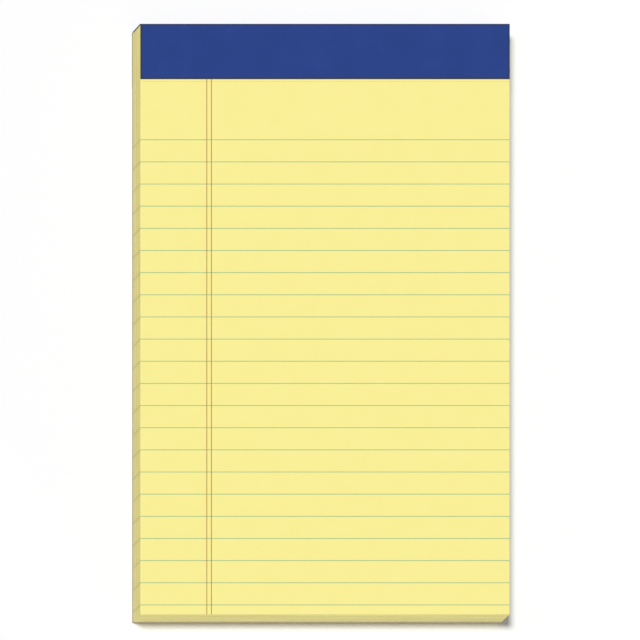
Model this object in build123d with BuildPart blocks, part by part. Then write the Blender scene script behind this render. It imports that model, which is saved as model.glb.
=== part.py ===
from build123d import *
import os

# A small perforated writing pad: ruled sheets stapled to a chipboard back, with a strip of
# binding tape folded over the top edge. All sizes are in millimetres.
# It lies on its back with the page up (+Z) and the bound edge towards +Y. The origin is
# under the middle of the pad, on the surface that it lies on.

# Sheets and backing board
page_width = 127.0
page_height = 203.2
sheet_count = 50
sheet_thickness = 0.085
seam_width = 0.015          # the fine line between the cut edges of two sheets
seam_depth = 0.05
board_thickness = 0.7

# Binding tape
tape_thickness = 0.13
tape_bed = 0.02             # how far it is pressed into the paper and the board
front_flap_depth = 19.05    # from the top edge of the sheets down the front page
back_flap_depth = 19.05     # and down the back of the board
fold_radius = 0.3           # inside each fold, where the tape bends round the stack

# Fine perforation, through every sheet but not the board
perforation_drop = 0.8      # from the edge of the tape down to the line of slits
slit_pitch = 0.85
slit_width = 0.08
tie_length = 0.25           # the uncut paper between two slits

# Staples of flat wire, under the tape
wire_width = 0.6
wire_thickness = 0.45
wire_bend_radius = 0.6      # at the middle of the wire
crown_length = 12.7         # over the outsides of the legs
clinch_length = 4.5         # how far each leg is folded in under the board
staple_spacing = 63.5       # from the middle of one staple to the middle of the other
staple_drop = 9.5           # below the top edge of the sheets
wire_clearance = 0.02       # around the wire in the paper and the board

# Print on the front page
first_rule_drop = 39.9      # from the top edge of the sheets
rule_pitch = 7.62
rule_width = 0.25
margin_inset = 22.86        # from the left edge to the first margin line
margin_spacing = 1.5875     # between the middles of the two margin lines
margin_line_width = 0.24
ink_thickness = 0.02

# Heights, from the surface up: back flap, board, sheets, front flap
tape_proud = tape_thickness - tape_bed
board_z = tape_proud
block_z = board_z + board_thickness
block_thickness = sheet_count * sheet_thickness
page_z = block_z + block_thickness

# Places on the page. The sheets sit off the middle by half of what the tape adds at their top.
page_middle_y = -tape_proud / 2
page_top_y = page_middle_y + page_height / 2
page_bottom_y = page_middle_y - page_height / 2
flap_edge_y = page_top_y - front_flap_depth
perforation_y = flap_edge_y - perforation_drop
first_margin_x = margin_inset - page_width / 2
margin_xs = [first_margin_x, first_margin_x + margin_spacing]

# As many slits as leave a little uncut paper at each side of the page
slit_count = int((page_width + tie_length / 2) // slit_pitch)
slit_length = slit_pitch - tie_length

# The rules start below the tape and go on for as long as they fit on the page
rule_count = 1 + int((page_height - first_rule_drop - rule_width) // rule_pitch)
rule_ys = [page_top_y - first_rule_drop - i * rule_pitch for i in range(rule_count)]

# The faces that the tape lies on: under the front flap, at the top edge, over the back flap
taped_page_z = page_z - tape_bed
taped_top_y = page_top_y - tape_bed
taped_back_z = board_z + tape_bed

# Each staple stands in an upright plane across the pad, with its own x to the right and y up
staple_planes = [
    Plane(origin=(x, page_top_y - staple_drop, 0), x_dir=(1, 0, 0), z_dir=(0, -1, 0))
    for x in (-staple_spacing / 2, staple_spacing / 2)
]

# The middle of a staple's wire: clinch, leg, crown, leg, clinch. The crown and the clinches
# lie flush under the flaps of the tape.
crown_z = taped_page_z - wire_thickness / 2
clinch_z = taped_back_z + wire_thickness / 2
leg_x = (crown_length - wire_thickness) / 2
wire_points = [
    (leg_x - clinch_length, clinch_z),
    (leg_x, clinch_z),
    (leg_x, crown_z),
    (-leg_x, crown_z),
    (-leg_x, clinch_z),
    (clinch_length - leg_x, clinch_z),
]

os.makedirs("parts", exist_ok=True)

# Staples: two pieces of flat wire, bent to shape
with BuildPart() as staples:
    with BuildSketch(*staple_planes):
        with BuildLine():
            FilletPolyline(*wire_points, radius=wire_bend_radius)
        trace(line_width=wire_thickness)
    extrude(amount=wire_width / 2, both=True)
staples.part.label = "staples"
export_step(staples.part, "parts/staples.step")

# The slots that they have pressed and pierced through the stack
with BuildPart() as staple_slots:
    with BuildSketch(*staple_planes):
        with BuildLine():
            FilletPolyline(*wire_points, radius=wire_bend_radius)
        trace(line_width=wire_thickness + 2 * wire_clearance)
    extrude(amount=wire_width / 2 + wire_clearance, both=True)

# Binding tape: one strip, down the front, round the top edge and down the back
with BuildPart() as binding_tape:
    with BuildSketch(Plane.YZ):
        with BuildLine():
            inner_side = FilletPolyline(
                (flap_edge_y, taped_page_z),
                (taped_top_y, taped_page_z),
                (taped_top_y, taped_back_z),
                (page_top_y - back_flap_depth, taped_back_z),
                radius=fold_radius,
            )
            offset(inner_side, amount=tape_thickness, side=Side.LEFT)
        make_face()
    extrude(amount=page_width / 2, both=True)
binding_tape.part.label = "binding_tape"
export_step(binding_tape.part, "parts/binding_tape.step")

# The row of slits, drawn once for the sheets and for the ink that crosses it
with BuildSketch() as perforation:
    with Locations((0, perforation_y)):
        with GridLocations(slit_pitch, slit_width, slit_count, 1):
            Rectangle(slit_length, slit_width)

# Page block: all the sheets as one solid
with BuildPart() as page_block:
    with BuildSketch(Plane.XY.offset(block_z)):
        with Locations((0, page_middle_y)):
            Rectangle(page_width, page_height)
    extrude(amount=block_thickness)

    # The tape has rounded the top edge of the uppermost sheets, and beds into them
    top_edges = page_block.edges().filter_by(Axis.X).group_by(Axis.Y)[-1]
    fillet(top_edges.sort_by(Axis.Z)[-1], radius=fold_radius + tape_bed)
    add(binding_tape.part, mode=Mode.SUBTRACT)

    # The seams between the sheets, along the three edges that the tape leaves free
    seam_heights = [block_z + i * sheet_thickness - seam_width / 2 for i in range(1, sheet_count)]
    with BuildSketch(*[Plane.XY.offset(z) for z in seam_heights]):
        with Locations((0, page_middle_y)):
            Rectangle(page_width + 2 * seam_depth, page_height + 2 * seam_depth)
        with Locations((0, page_middle_y + seam_depth)):
            Rectangle(page_width - 2 * seam_depth, page_height, mode=Mode.SUBTRACT)
    extrude(amount=seam_width, mode=Mode.SUBTRACT)

    # The slits that each sheet tears off along
    with BuildSketch(Plane.XY.offset(block_z)):
        add(perforation.sketch)
    extrude(amount=block_thickness, mode=Mode.SUBTRACT)

    add(staple_slots.part, mode=Mode.SUBTRACT)
page_block.part.label = "page_block"
export_step(page_block.part, "parts/page_block.step")

# Backing board, cut flush with the sheets
with BuildPart() as backing_board:
    with BuildSketch(Plane.XY.offset(board_z)):
        with Locations((0, page_middle_y)):
            Rectangle(page_width, page_height)
    extrude(amount=board_thickness)

    # The tape has rounded its lower top edge, and beds into its back
    top_edges = backing_board.edges().filter_by(Axis.X).group_by(Axis.Y)[-1]
    fillet(top_edges.sort_by(Axis.Z)[0], radius=fold_radius + tape_bed)
    add(binding_tape.part, mode=Mode.SUBTRACT)

    add(staple_slots.part, mode=Mode.SUBTRACT)
backing_board.part.label = "backing_board"
export_step(backing_board.part, "parts/backing_board.step")

# Ruled lines, from side to side, left open where the margin lines cross them
with BuildPart() as ruled_lines:
    with BuildSketch(Plane.XY.offset(page_z)):
        with Locations(*[(0, y) for y in rule_ys]):
            Rectangle(page_width, rule_width)
        with Locations(*[(x, page_middle_y) for x in margin_xs]):
            Rectangle(margin_line_width, page_height, mode=Mode.SUBTRACT)
    extrude(amount=ink_thickness)
ruled_lines.part.label = "ruled_lines"
export_step(ruled_lines.part, "parts/ruled_lines.step")

# Margin lines, from the edge of the tape to the foot of the page, broken by the slits
margin_line_length = flap_edge_y - page_bottom_y
with BuildPart() as margin_lines:
    with BuildSketch(Plane.XY.offset(page_z)):
        with Locations(*[(x, page_bottom_y) for x in margin_xs]):
            Rectangle(margin_line_width, margin_line_length, align=(Align.CENTER, Align.MIN))
        add(perforation.sketch, mode=Mode.SUBTRACT)
    extrude(amount=ink_thickness)
margin_lines.part.label = "margin_lines"
export_step(margin_lines.part, "parts/margin_lines.step")
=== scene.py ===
import math

import bmesh
import bpy
from mathutils import Matrix, Vector


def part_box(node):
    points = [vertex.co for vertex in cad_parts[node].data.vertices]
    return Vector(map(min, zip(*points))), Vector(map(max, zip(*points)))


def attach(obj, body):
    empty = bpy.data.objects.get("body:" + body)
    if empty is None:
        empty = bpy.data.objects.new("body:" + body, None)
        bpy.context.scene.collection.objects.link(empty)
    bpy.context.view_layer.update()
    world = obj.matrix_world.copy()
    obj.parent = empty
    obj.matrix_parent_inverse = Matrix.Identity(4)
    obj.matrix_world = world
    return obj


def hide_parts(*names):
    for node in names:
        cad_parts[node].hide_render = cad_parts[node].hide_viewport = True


# A small writing pad, lying face up on a pale floor: yellow ruled sheets on a chipboard back, with
# a blue binding tape over the top edge. Lengths are in metres. The bound edge is towards +Y.

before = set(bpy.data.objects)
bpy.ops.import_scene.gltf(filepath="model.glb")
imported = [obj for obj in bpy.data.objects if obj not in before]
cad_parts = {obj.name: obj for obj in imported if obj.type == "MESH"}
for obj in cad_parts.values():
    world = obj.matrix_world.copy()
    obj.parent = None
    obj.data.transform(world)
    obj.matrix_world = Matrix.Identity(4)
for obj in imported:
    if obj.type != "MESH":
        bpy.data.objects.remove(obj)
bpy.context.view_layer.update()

MM = 0.001

# Sizes of the real pad that the surfaces follow
SHEET_THICKNESS = 0.085 * MM
GROOVE_DEPTH = 0.02 * MM        # between the cut edges of two sheets
EDGE_WANDER = 0.008 * MM        # how far a cut edge strays from a straight line
BEND_SPACING = 8 * MM           # about how far it runs from one bend to the next
TAPE_BED = 0.02 * MM            # how far the tape is pressed into the paper
FOLD_RADIUS = 0.32 * MM         # of the top edge of the stack, under the tape
STAPLE_CLEARANCE = 0.02 * MM
SLIT_PITCH = 0.85 * MM
SLIT_LENGTH = 0.6 * MM
SLIT_WIDTH = 0.05 * MM          # cut a little wider, but the paper has sprung back
SLIT_DROP = 0.8 * MM            # from the edge of the tape down to the line of slits
RULE_PITCH = 7.62 * MM
RULE_WIDTH = 0.25 * MM

# The corners that the pieces are placed by
SHEETS_LOW, SHEETS_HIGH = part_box("page_block")
TAPE_LOW, TAPE_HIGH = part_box("binding_tape")
RULES_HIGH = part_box("ruled_lines")[1]
TAPED_PAGE_Z = SHEETS_HIGH.z - TAPE_BED

# The cuts that divide the stack into levels, about two for each of its 50 sheets. One subdivision
# makes no more than this.
LEVEL_CUTS = 100

# A level becomes a groove where it lies less than this share of a sheet from the joint of two sheets
GROOVE_REACH = 0.1

# Two places nearer to each other than this are the same
SAME_PLACE = 0.002 * MM

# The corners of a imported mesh's loose triangles are merged where they are nearer than this
MERGE_DISTANCE = 0.001 * MM

# A face lies level where its normal has more than this share of its length along Z
LEVEL_SHARE = 0.9


# Nodes and colours

# A Mix node set to colours has its sockets at these places
MIX_FACTOR, MIX_FIRST, MIX_SECOND, MIX_RESULT = 0, 6, 7, 2


def linear(hex_colour):
    """An sRGB hex colour as linear red, green, blue and alpha."""
    channels = [int(hex_colour[i:i + 2], 16) / 255 for i in (1, 3, 5)]
    return [c / 12.92 if c <= 0.04045 else ((c + 0.055) / 1.055) ** 2.4 for c in channels] + [1]


def per_metre(size_mm):
    """The scale at which a pattern repeats about every size_mm."""
    return 1000 / size_mm


def add_node(tree, kind, inputs, **settings):
    """Adds a shader node. Each input, by name or place, is a value or the socket that feeds it."""
    node = tree.nodes.new("ShaderNode" + kind)
    for name, value in settings.items():
        setattr(node, name, value)
    for name, value in inputs.items():
        if isinstance(value, bpy.types.NodeSocket):
            tree.links.new(value, node.inputs[name])
        else:
            node.inputs[name].default_value = value
    return node


def start_material(name):
    """A new material with an empty node tree."""
    material = bpy.data.materials.new(name)
    material.use_nodes = True
    material.node_tree.nodes.clear()
    return material, material.node_tree


# Materials

def canary_bond_paper():
    """Uncoated bond paper, dyed canary yellow in the pulp. It is matt, and faintly cloudy where the
    fibres lie thicker, with a fine tooth that is too small to see singly."""
    material, tree = start_material("canary_bond_paper")
    place = add_node(tree, "TexCoord", {}).outputs["Object"]

    # The cloudiness of the pulp. Fibres are about 1 mm long and gather in flocks of 5 to 10 mm.
    flocks = add_node(tree, "TexNoise", {"Vector": place, "Scale": per_metre(7), "Detail": 3})
    colour = add_node(
        tree, "Mix",
        {MIX_FACTOR: flocks.outputs[0], MIX_FIRST: linear("#F9EE93"), MIX_SECOND: linear("#FBF19B")},
        data_type="RGBA",
    )

    # The tooth, drawn at 0.6 mm, which is coarser than the real 0.1 mm, so that it shows
    tooth = add_node(tree, "TexNoise", {"Vector": place, "Scale": per_metre(0.6), "Detail": 4})
    relief = add_node(
        tree, "Bump", {"Strength": 0.08, "Distance": 0.02 * MM, "Height": tooth.outputs[0]}
    )
    paper = add_node(
        tree, "BsdfPrincipled",
        {
            "Base Color": colour.outputs[MIX_RESULT],
            "Roughness": 0.9,
            "Specular IOR Level": 0.1,
            "Normal": relief.outputs["Normal"],
        },
    )
    add_node(tree, "OutputMaterial", {"Surface": paper.outputs["BSDF"]})
    return material


def guillotined_sheet_edges():
    """The same paper where the stack was cut. The knife leaves the edges duller. They are painted
    darker than the page as shade of the gaps between the sheets and of sides that get less light,
    each sheet a little different, and greyer towards the board."""
    material, tree = start_material("guillotined_sheet_edges")
    place = add_node(tree, "TexCoord", {}).outputs["Object"]
    parts = add_node(tree, "SeparateXYZ", {"Vector": place}).outputs

    # Streaks along the sheets, 30 mm long. They are drawn four sheets deep, so that they show.
    streak_depth = 4 * SHEET_THICKNESS
    streaks_at = add_node(
        tree, "Mapping",
        {"Vector": place, "Scale": (per_metre(30), per_metre(30), 1 / streak_depth)},
    )
    streaks = add_node(
        tree, "TexNoise", {"Vector": streaks_at.outputs[0], "Scale": 1, "Detail": 3}
    )
    # Both colours are darker than the page, as painted shade of the gaps and the less lit sides
    streaked = add_node(
        tree, "Mix",
        {MIX_FACTOR: streaks.outputs[0], MIX_FIRST: linear("#B1A668"), MIX_SECOND: linear("#D8D18E")},
        data_type="RGBA",
    )

    # Dust from the board, which the knife drags over the lowest sheets
    dusty_sheets = 14
    dust = add_node(
        tree, "MapRange",
        {
            "Value": parts["Z"],
            "From Min": SHEETS_LOW.z,
            "From Max": SHEETS_LOW.z + dusty_sheets * SHEET_THICKNESS,
            "To Min": 0.45,
            "To Max": 0,
        },
    )
    dusted = add_node(
        tree, "Mix",
        {
            MIX_FACTOR: dust.outputs["Result"],
            MIX_FIRST: streaked.outputs[MIX_RESULT],
            MIX_SECOND: linear("#C3BD99"),
        },
        data_type="RGBA",
    )

    # The rules run out over both sides, so their ink marks each sheet's edge there. The marks stray
    # a little from sheet to sheet, so together they make a wide faint tick.
    stray = 0.8 * MM
    below_first = add_node(
        tree, "Math", {0: RULES_HIGH.y - RULE_WIDTH / 2, 1: parts["Y"]}, operation="SUBTRACT"
    )
    from_rule = add_node(
        tree, "Math", {0: below_first.outputs[0], 1: RULE_PITCH / 2}, operation="PINGPONG"
    )
    inked = add_node(
        tree, "MapRange",
        {
            "Value": from_rule.outputs[0],
            "From Min": stray,
            "From Max": RULE_WIDTH / 2,
            "To Min": 0,
            "To Max": 0.45,
        },
    )
    ruled_part = add_node(
        tree, "Math", {0: below_first.outputs[0], 1: -stray}, operation="GREATER_THAN"
    )
    ticks = add_node(
        tree, "Math", {0: inked.outputs["Result"], 1: ruled_part.outputs[0]}, operation="MULTIPLY"
    )
    ticked = add_node(
        tree, "Mix",
        {
            MIX_FACTOR: ticks.outputs[0],
            MIX_FIRST: dusted.outputs[MIX_RESULT],
            MIX_SECOND: linear("#A09F6C"),
        },
        data_type="RGBA",
    )

    # The head of the stack is darker, as far as a slightly soft border: partly where the tape's glue
    # has soaked in, and partly as painted shadow of the tape.
    glue_and_tape_shadow_depth, border = 0.5 * MM, 0.05 * MM
    glue_and_tape_shadow = add_node(
        tree, "MapRange",
        {
            "Value": parts["Y"],
            "From Min": SHEETS_HIGH.y - glue_and_tape_shadow_depth - border,
            "From Max": SHEETS_HIGH.y - glue_and_tape_shadow_depth + border,
            "To Min": 0,
            "To Max": 0.95,
        },
    )
    colour = add_node(
        tree, "Mix",
        {
            MIX_FACTOR: glue_and_tape_shadow.outputs["Result"],
            MIX_FIRST: ticked.outputs[MIX_RESULT],
            MIX_SECOND: linear("#4A473F"),
        },
        data_type="RGBA",
    )
    edges = add_node(
        tree, "BsdfPrincipled",
        {
            "Base Color": colour.outputs[MIX_RESULT],
            "Roughness": 0.95,
            "Specular IOR Level": 0.1,
        },
    )
    add_node(tree, "OutputMaterial", {"Surface": edges.outputs["BSDF"]})
    return material


def grey_chipboard():
    """Chipboard pressed from mixed waste paper: grey-brown and dull, with paler and darker fibres."""
    material, tree = start_material("grey_chipboard")
    place = add_node(tree, "TexCoord", {}).outputs["Object"]
    pulp = add_node(tree, "TexNoise", {"Vector": place, "Scale": per_metre(5), "Detail": 5})
    pulp_colour = add_node(
        tree, "Mix",
        {MIX_FACTOR: pulp.outputs[0], MIX_FIRST: linear("#A99C76"), MIX_SECOND: linear("#BDB087")},
        data_type="RGBA",
    )

    # Single fibres, up to 1.5 mm long, lying across the board
    fibres_at = add_node(
        tree, "Mapping",
        {"Vector": place, "Scale": (per_metre(1.5), per_metre(0.5), per_metre(0.3))},
    )
    fibres = add_node(
        tree, "TexNoise", {"Vector": fibres_at.outputs[0], "Scale": 1, "Detail": 2}
    )
    fibre_share = add_node(
        tree, "MapRange",
        {"Value": fibres.outputs[0], "From Min": 0.58, "From Max": 0.7, "To Min": 0, "To Max": 0.6},
    )
    colour = add_node(
        tree, "Mix",
        {
            MIX_FACTOR: fibre_share.outputs["Result"],
            MIX_FIRST: pulp_colour.outputs[MIX_RESULT],
            MIX_SECOND: linear("#7E7464"),
        },
        data_type="RGBA",
    )
    relief = add_node(
        tree, "Bump", {"Strength": 0.3, "Distance": 0.03 * MM, "Height": fibres.outputs[0]}
    )
    board = add_node(
        tree, "BsdfPrincipled",
        {
            "Base Color": colour.outputs[MIX_RESULT],
            "Roughness": 0.9,
            "Specular IOR Level": 0.2,
            "Normal": relief.outputs["Normal"],
        },
    )
    add_node(tree, "OutputMaterial", {"Surface": board.outputs["BSDF"]})
    return material


def coated_paper_tape():
    """Blue binding tape: paper with a thin smooth coat, so it has a soft sheen and a very fine grain.
    Along the two creases it is darker with painted shade, and along its cut edges with painted shade
    and with the glue that has wetted it."""
    material, tree = start_material("coated_paper_tape")
    place = add_node(tree, "TexCoord", {}).outputs["Object"]

    cloud = add_node(tree, "TexNoise", {"Vector": place, "Scale": per_metre(9), "Detail": 4})
    blue = add_node(
        tree, "Mix",
        {MIX_FACTOR: cloud.outputs[0], MIX_FIRST: linear("#1B377A"), MIX_SECOND: linear("#233F87")},
        data_type="RGBA",
    )

    # How near a point is to the sides of the folded strip, along X, Y and Z: 1 at the side, and 0
    # from a millimetre inwards
    edge_width = 1 * MM
    middle = (TAPE_LOW + TAPE_HIGH) / 2
    reach = TAPE_HIGH - middle
    off_middle = add_node(tree, "VectorMath", {0: place, 1: middle}, operation="SUBTRACT")
    distance = add_node(tree, "VectorMath", {0: off_middle.outputs[0]}, operation="ABSOLUTE")
    distances = add_node(tree, "SeparateXYZ", {"Vector": distance.outputs[0]}).outputs
    near_ends, near_foot_or_head, near_faces = [
        add_node(
            tree, "MapRange",
            {"Value": distances[i], "From Min": reach[i] - edge_width, "From Max": reach[i]},
        ).outputs["Result"]
        for i in range(3)
    ]

    # The long cut edges and the creases lie where the front or back meets the foot or the head
    near_long_edges = add_node(
        tree, "Math", {0: near_foot_or_head, 1: near_faces}, operation="MINIMUM"
    )
    near_edge = add_node(
        tree, "Math", {0: near_long_edges.outputs[0], 1: near_ends}, operation="MAXIMUM"
    )
    # Painted shade along the creases and cut edges; at the cut edges the glue has also wetted the
    # tape
    colour = add_node(
        tree, "Mix",
        {
            MIX_FACTOR: near_edge.outputs[0],
            MIX_FIRST: blue.outputs[MIX_RESULT],
            MIX_SECOND: linear("#2A3044"),
        },
        data_type="RGBA",
    )

    # The grain of the paper under the coat, drawn at 0.5 mm so that it shows in the sheen
    grain = add_node(tree, "TexNoise", {"Vector": place, "Scale": per_metre(0.5), "Detail": 3})
    relief = add_node(
        tree, "Bump", {"Strength": 0.1, "Distance": 0.01 * MM, "Height": grain.outputs[0]}
    )
    tape = add_node(
        tree, "BsdfPrincipled",
        {
            "Base Color": colour.outputs[MIX_RESULT],
            "Roughness": 0.5,
            "Specular IOR Level": 0.2,
            "Normal": relief.outputs["Normal"],
        },
    )
    add_node(tree, "OutputMaterial", {"Surface": tape.outputs["BSDF"]})
    return material


def flat_steel_wire():
    """Galvanised stitching wire, rolled flat. The rolls leave fine lines along it."""
    material, tree = start_material("flat_steel_wire")
    place = add_node(tree, "TexCoord", {}).outputs["Object"]
    lines_at = add_node(
        tree, "Mapping",
        {"Vector": place, "Scale": (per_metre(6), per_metre(0.06), per_metre(6))},
    )
    lines = add_node(tree, "TexNoise", {"Vector": lines_at.outputs[0], "Scale": 1, "Detail": 2})
    roughness = add_node(
        tree, "MapRange", {"Value": lines.outputs[0], "To Min": 0.25, "To Max": 0.5}
    )
    wire = add_node(
        tree, "BsdfPrincipled",
        {
            "Base Color": linear("#B9BCC0"),
            "Metallic": 1,
            "Roughness": roughness.outputs["Result"],
        },
    )
    add_node(tree, "OutputMaterial", {"Surface": wire.outputs["BSDF"]})
    return material


def printed_ink(name, pale, full):
    """Water-based ruling ink, drawn on by a pen disc. It soaks in and takes the paper's matt finish,
    and is paler where the disc was drying."""
    material, tree = start_material(name)
    place = add_node(tree, "TexCoord", {}).outputs["Object"]
    uneven = add_node(tree, "TexNoise", {"Vector": place, "Scale": per_metre(4), "Detail": 4})
    colour = add_node(
        tree, "Mix",
        {MIX_FACTOR: uneven.outputs[0], MIX_FIRST: linear(pale), MIX_SECOND: linear(full)},
        data_type="RGBA",
    )
    ink = add_node(
        tree, "BsdfPrincipled",
        {
            "Base Color": colour.outputs[MIX_RESULT],
            "Roughness": 0.9,
            "Specular IOR Level": 0.1,
        },
    )
    add_node(tree, "OutputMaterial", {"Surface": ink.outputs["BSDF"]})
    return material


# Modelling

def deselect_all():
    bpy.ops.object.select_all(action="DESELECT")


def pick(piece, kind, wanted):
    """In edit mode, selects only the VERT, EDGE or FACE elements that wanted says yes to."""
    bpy.ops.mesh.select_mode(type=kind)
    bpy.ops.mesh.select_all(action="DESELECT")
    mesh = bmesh.from_edit_mesh(piece.data)
    elements = {"VERT": mesh.verts, "EDGE": mesh.edges, "FACE": mesh.faces}[kind]
    for element in elements:
        if wanted(element):
            element.select_set(True)
    bmesh.update_edit_mesh(piece.data)


def add_block(name, low, high):
    """A cuboid between two corners, with its place in its mesh."""
    deselect_all()
    bpy.ops.mesh.primitive_cube_add(size=1, location=(low + high) / 2)
    block = bpy.context.object
    block.name = name
    block.scale = high - low
    bpy.ops.object.transform_apply(location=True, rotation=True, scale=True)
    return block


def apply_modifier(piece, modifier):
    bpy.context.view_layer.objects.active = piece
    bpy.ops.object.modifier_apply(modifier=modifier.name)


def cut_away(piece, cutter):
    """Cuts one solid out of another, and removes the cutter."""
    cut = piece.modifiers.new("cut", "BOOLEAN")
    cut.operation = "DIFFERENCE"
    cut.solver = "EXACT"
    cut.object = cutter
    apply_modifier(piece, cut)
    bpy.data.objects.remove(cutter)


def slit_cutter():
    """The perforating rule's teeth: one blade, repeated across the page."""
    page_width = SHEETS_HIGH.x - SHEETS_LOW.x
    count = int((page_width + (SLIT_PITCH - SLIT_LENGTH) / 2) // SLIT_PITCH)
    first_x = -SLIT_PITCH * (count - 1) / 2
    y = TAPE_LOW.y - SLIT_DROP
    reach = Vector((SLIT_LENGTH / 2, SLIT_WIDTH / 2, 0))
    foot = Vector((first_x, y, SHEETS_LOW.z - SHEET_THICKNESS))
    head = Vector((first_x, y, SHEETS_HIGH.z + SHEET_THICKNESS))
    blade = add_block("blade", foot - reach, head + reach)
    row = blade.modifiers.new("row", "ARRAY")
    row.count = count
    row.use_relative_offset = False
    row.use_constant_offset = True
    row.constant_offset_displace = (SLIT_PITCH, 0, 0)
    apply_modifier(blade, row)
    return blade


def staple_cutter():
    """The room that the two staples have pressed for themselves."""
    deselect_all()
    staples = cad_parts["staples"]
    room = staples.copy()
    room.data = staples.data.copy()
    room.parent = None
    bpy.context.scene.collection.objects.link(room)
    room.select_set(True)
    bpy.context.view_layer.objects.active = room
    bpy.ops.object.mode_set(mode="EDIT")
    bpy.ops.mesh.select_all(action="SELECT")
    bpy.ops.mesh.remove_doubles(threshold=MERGE_DISTANCE)
    bpy.ops.transform.shrink_fatten(value=STAPLE_CLEARANCE, use_even_offset=True)
    bpy.ops.object.mode_set(mode="OBJECT")
    return room


def in_mm(length):
    """A length in millimetres, rounded to a ten-thousandth, so that equal places come out equal."""
    return round(length / MM, 4)


def put_in_order(piece):
    """In edit mode, sorts the points by their places, so that a random shift falls on the same points
    whatever order the cuts have left them in."""
    mesh = bmesh.from_edit_mesh(piece.data)
    by_place = sorted(mesh.verts, key=lambda v: [in_mm(c) for c in v.co])
    rank = {point: i for i, point in enumerate(by_place)}
    mesh.verts.sort(key=lambda v: rank[v])
    bmesh.update_edit_mesh(piece.data)


def faces_up(face):
    return face.normal.z > LEVEL_SHARE


def round_head(sheets):
    """Draws the upper sheets back at the head, where the tape bends over them."""
    fold_centre_z = TAPED_PAGE_Z - FOLD_RADIUS
    points = bmesh.from_edit_mesh(sheets.data).verts
    for level in sorted({in_mm(v.co.z) * MM for v in points if v.co.z > fold_centre_z}):
        rise = min(level - fold_centre_z, FOLD_RADIUS)
        setback = FOLD_RADIUS - math.sqrt(FOLD_RADIUS ** 2 - rise ** 2)
        pick(sheets, "VERT", lambda v: v.co.y > 0 and abs(v.co.z - level) < SAME_PLACE)
        bpy.ops.transform.translate(value=(0, -setback, 0))


def score_edges(sheets):
    """Gives the three sides that are free of tape the look of many cut edges: grooves between some of
    the sheets, and levels that each wander a little."""
    # Cuts through the whole stack give the edges points to bend at
    for axis in (0, 1):
        cuts = int((SHEETS_HIGH - SHEETS_LOW)[axis] // BEND_SPACING)
        across = Vector((0, 0, 0))
        across[axis] = 1
        for i in range(cuts):
            share = (i + 1) / (cuts + 1)
            bpy.ops.mesh.select_all(action="SELECT")
            bpy.ops.mesh.bisect(plane_co=SHEETS_LOW.lerp(SHEETS_HIGH, share), plane_no=across)

    def within(co):
        return SHEETS_LOW.z + SAME_PLACE < co.z < TAPED_PAGE_Z - SAME_PLACE

    # The levels don't keep step with the sheets, so only 21 of the 49 joints have a level near enough
    def in_groove(co):
        sheets_up = (co.z - SHEETS_LOW.z) / SHEET_THICKNESS
        return within(co) and abs(sheets_up - round(sheets_up)) < GROOVE_REACH

    reach = GROOVE_DEPTH + 2 * EDGE_WANDER
    free_sides = [
        (lambda co: co.x < SHEETS_LOW.x + reach, Vector((1, 0, 0))),
        (lambda co: co.x > SHEETS_HIGH.x - reach, Vector((-1, 0, 0))),
        (lambda co: co.y < SHEETS_LOW.y + reach, Vector((0, 1, 0))),
    ]
    for on_side, inward in free_sides:
        pick(sheets, "VERT", lambda v: on_side(v.co) and within(v.co))
        bpy.ops.transform.translate(value=inward * EDGE_WANDER)
        pick(sheets, "VERT", lambda v: on_side(v.co) and in_groove(v.co))
        bpy.ops.transform.translate(value=inward * GROOVE_DEPTH)

    # The edges wander all the way up to where the tape bends over the head
    head_y = SHEETS_HIGH.y - FOLD_RADIUS - SAME_PLACE
    put_in_order(sheets)
    pick(
        sheets, "VERT",
        lambda v: within(v.co) and v.co.y < head_y and any(side[0](v.co) for side in free_sides),
    )
    bpy.ops.transform.vertex_random(offset=EDGE_WANDER, seed=4)


def build_sheets():
    """The whole stack of sheets, perforated, with room for the staples."""
    top_sheet_z = SHEETS_HIGH.z - SHEET_THICKNESS
    sheets = add_block(
        "ruled_sheets", SHEETS_LOW, Vector((SHEETS_HIGH.x, SHEETS_HIGH.y, top_sheet_z))
    )
    bpy.ops.object.mode_set(mode="EDIT")

    # All the sheets but the top one, in levels
    pick(sheets, "EDGE", lambda e: abs(e.verts[0].co.z - e.verts[1].co.z) > SHEET_THICKNESS)
    bpy.ops.mesh.subdivide(number_cuts=LEVEL_CUTS)

    # The top sheet, which the tape has pressed a little thinner, with a level of its own part way up
    level_height = SHEET_THICKNESS / 3
    pick(sheets, "FACE", faces_up)
    for lift in (level_height, SHEET_THICKNESS - TAPE_BED - level_height):
        bpy.ops.mesh.extrude_region_move(TRANSFORM_OT_translate={"value": (0, 0, lift)})
    round_head(sheets)

    # Below the tape it has its full thickness
    bpy.ops.mesh.select_all(action="SELECT")
    bpy.ops.mesh.bisect(plane_co=(0, TAPE_LOW.y, 0), plane_no=(0, 1, 0))
    pick(sheets, "FACE", lambda f: faces_up(f) and f.calc_center_median().y < TAPE_LOW.y)
    bpy.ops.mesh.extrude_region_move(TRANSFORM_OT_translate={"value": (0, 0, TAPE_BED)})

    score_edges(sheets)
    bpy.ops.object.mode_set(mode="OBJECT")
    cut_away(sheets, slit_cutter())
    cut_away(sheets, staple_cutter())
    return sheets


def dress_sheets(sheets):
    """The page and the underside of the stack are plain paper, and all the rest is cut edges."""
    sheets.data.materials.append(canary_bond_paper())
    sheets.data.materials.append(guillotined_sheet_edges())
    deselect_all()
    sheets.select_set(True)
    bpy.context.view_layer.objects.active = sheets
    bpy.ops.object.mode_set(mode="EDIT")
    pick(sheets, "FACE", lambda f: abs(f.normal.z) < LEVEL_SHARE)
    sheets.active_material_index = 1
    bpy.ops.object.material_slot_assign()
    bpy.ops.object.mode_set(mode="OBJECT")


def dress_node(node, material):
    """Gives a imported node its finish."""
    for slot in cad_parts[node].material_slots:
        slot.material = material


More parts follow.
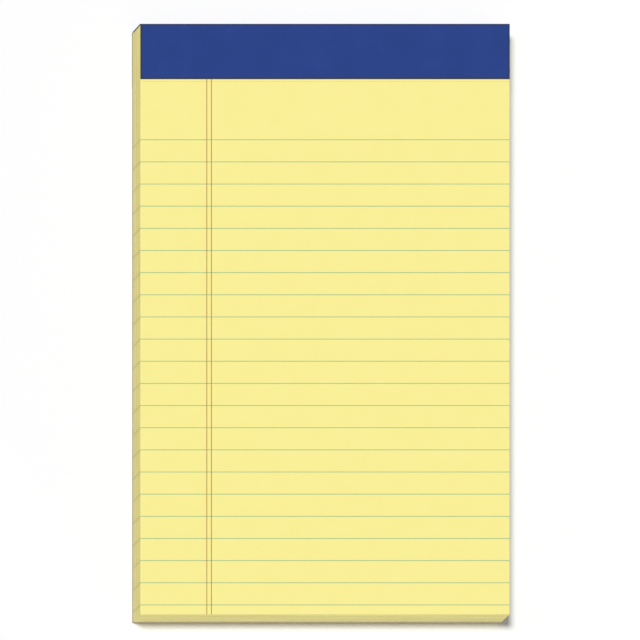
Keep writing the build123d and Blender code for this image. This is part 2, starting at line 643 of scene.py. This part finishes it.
sheets = build_sheets()
dress_sheets(sheets)
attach(sheets, "root")
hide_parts("page_block")

dress_node("backing_board", grey_chipboard())
dress_node("binding_tape", coated_paper_tape())
dress_node("staples", flat_steel_wire())
dress_node("ruled_lines", printed_ink("water_based_rule_ink", "#A8C99A", "#8EBB86"))
dress_node("margin_lines", printed_ink("water_based_margin_ink", "#B47D37", "#A06B27"))


# Floor, light and camera

# The photograph's frame: 640 pixels wide, at 2.907 pixels a millimetre on the front page
FRAME_PIXELS = 640
PIXELS_PER_MM = 2.907
FRAME_CENTRE = Vector((-1.70 * MM, -0.36 * MM, SHEETS_HIGH.z))

# How far the pad's foot lies to the left of its face and below it in the picture, in pixels
FOOT_LEFT = 8.8
FOOT_DOWN = 8.93

# How wide the floor is, and how high the camera stands above the front page, in metres
FLOOR_WIDTH = 8
CAMERA_HEIGHT = 3


def set_floor():
    """A pale floor, far wider than the pad."""
    deselect_all()
    bpy.ops.mesh.primitive_plane_add(size=FLOOR_WIDTH)
    floor = bpy.context.object
    floor.name = "floor"
    material, tree = start_material("white_studio_floor")
    seen = add_node(tree, "LightPath", {})
    # The camera sees it pure white, but it throws only as much light on the pad as a painted board
    shade = add_node(
        tree, "Mix",
        {
            MIX_FACTOR: seen.outputs["Is Camera Ray"],
            MIX_FIRST: linear("#EDEDED"),
            MIX_SECOND: linear("#FFFFFF"),
        },
        data_type="RGBA",
    )
    paint = add_node(tree, "BsdfDiffuse", {"Color": shade.outputs[MIX_RESULT]})
    add_node(tree, "OutputMaterial", {"Surface": paint.outputs["BSDF"]})
    floor.data.materials.append(material)


# How the light on a level surface in the open is made up. The shares add up to 1, so that a
# colour on such a surface renders as it is written.
ROOM_SHARE = 0.22
FILL_SHARE = 0.0078
KEY_SHARE = 1 - ROOM_SHARE - FILL_SHARE


def set_room_light():
    """Even white light from all round, and a white background."""
    world = bpy.data.worlds.new("studio")
    world.use_nodes = True
    bpy.context.scene.world = world
    tree = world.node_tree
    tree.nodes.clear()
    seen = add_node(tree, "LightPath", {})
    mirrored = add_node(
        tree, "Math",
        {0: seen.outputs["Is Glossy Ray"], 1: seen.outputs["Is Transmission Ray"]},
        operation="MAXIMUM",
    )
    shown = add_node(
        tree, "Math", {0: seen.outputs["Is Camera Ray"], 1: mirrored.outputs[0]}, operation="MAXIMUM"
    )
    light = add_node(tree, "Background", {"Color": linear("#FFFFFF"), "Strength": ROOM_SHARE})
    backdrop = add_node(tree, "Background", {"Color": linear("#FFFFFF"), "Strength": 1})
    both = add_node(
        tree, "MixShader",
        {0: shown.outputs[0], 1: light.outputs[0], 2: backdrop.outputs[0]},
    )
    add_node(tree, "OutputWorld", {"Surface": both.outputs[0]})


def add_lamp(name, to_lamp, width, share):
    """A soft lamp in the direction to_lamp, seen width degrees wide from the pad. It gives a level
    surface its share of the light."""
    deselect_all()
    bpy.ops.object.light_add(type="SUN", rotation=to_lamp.to_track_quat("Z", "Y").to_euler())
    lamp = bpy.context.object
    lamp.name = name
    lamp.data.angle = math.radians(width)
    # At a strength of pi, a lamp straight overhead gives all of the light
    lamp.data.energy = math.pi * share / to_lamp.normalized().z


def set_lamps():
    """The key lamp stands high up at the upper left. The fill lamp stands at the lower right, just
    over the floor, so it lights the foot of the pad and hardly touches the page."""
    left, headward = math.radians(37), math.radians(18)
    to_key = Vector((-math.tan(left), math.tan(headward), 1))
    add_lamp("key_lamp", to_key, width=24, share=KEY_SHARE)
    turn, rise = math.radians(35), math.radians(0.5)
    to_fill = Vector((math.sin(turn), -math.cos(turn), math.tan(rise)))
    add_lamp("fill_lamp", to_fill, width=1, share=FILL_SHARE)


def set_camera():
    """The photograph shows the front page square and flat, and yet the left and lower edges of the
    stack as well, as a camera with a shifted lens does from far off at the lower left. Its film is
    level and its line of sight slants, so the rig that holds the camera slants that line alone."""
    slant = Vector((-FOOT_LEFT, -FOOT_DOWN, 0)) / PIXELS_PER_MM * MM / SHEETS_HIGH.z
    sight = slant + Vector((0, 0, 1))
    rig_matrix = Matrix.Identity(4)
    rig_matrix.col[2] = [*sight.normalized(), 0]
    rig = bpy.data.objects.new("camera_rig", None)
    bpy.context.scene.collection.objects.link(rig)

    deselect_all()
    bpy.ops.object.camera_add()
    camera = bpy.context.object
    camera.parent = rig
    camera_place = FRAME_CENTRE + sight * CAMERA_HEIGHT
    camera.matrix_parent_inverse = Matrix.Translation(camera_place) @ rig_matrix
    picture_width = FRAME_PIXELS / PIXELS_PER_MM * MM
    camera.data.sensor_width = 36
    camera.data.lens = camera.data.sensor_width * CAMERA_HEIGHT * sight.length / picture_width
    camera.data.clip_end = 100
    bpy.context.scene.camera = camera


set_floor()
set_room_light()
set_lamps()
set_camera()
bpy.context.scene.view_settings.view_transform = "Standard"
